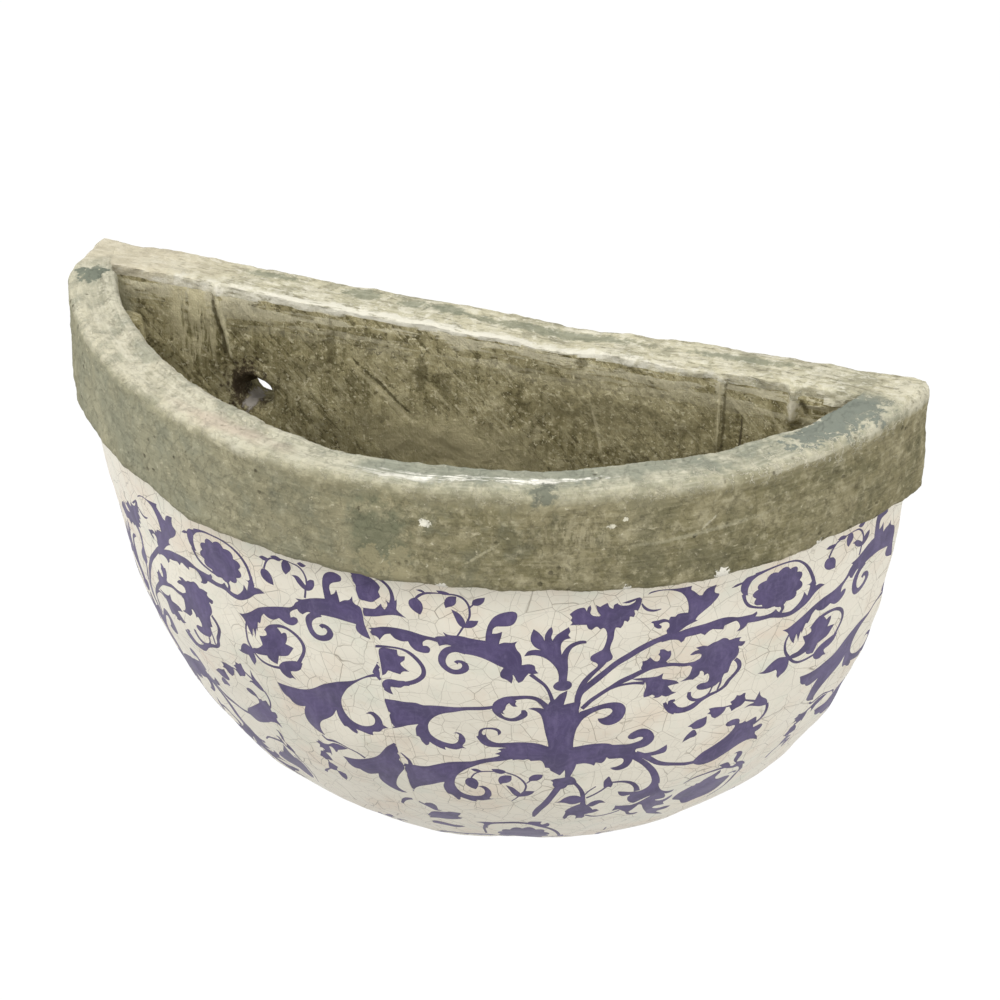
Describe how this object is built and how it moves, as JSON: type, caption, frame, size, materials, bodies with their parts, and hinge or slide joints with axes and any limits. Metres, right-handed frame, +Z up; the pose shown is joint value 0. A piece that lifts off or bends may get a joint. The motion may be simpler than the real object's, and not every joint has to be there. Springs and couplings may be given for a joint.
{
  "type": "wall planter",
  "caption": "Half-round ceramic wall planter with a flat back, a cement collar and coping round the mouth, hanging holes and a glazed bowl with scroll ornament.",
  "frame": {"origin": "midway between the two hanging holes, on the flat back face", "axes": "+X to the right along the wall for a person facing the planter, +Y into the wall, +Z up"},
  "size_m": [0.38, 0.148, 0.251],
  "materials": {
    "fired_clay": "matt, washed with cement slurry",
    "cement": "rough brushed cement",
    "glaze": "satin crackle glaze"
  },
  "bodies": {
    "root": {"bowl_shell": "fired_clay", "back_slab": "fired_clay", "rim_collar": "cement", "back_coping": "cement", "luting_coil": "fired_clay", "glaze_panel_left": "glaze", "glaze_panel_right": "glaze"}
  },
  "joints": []
}
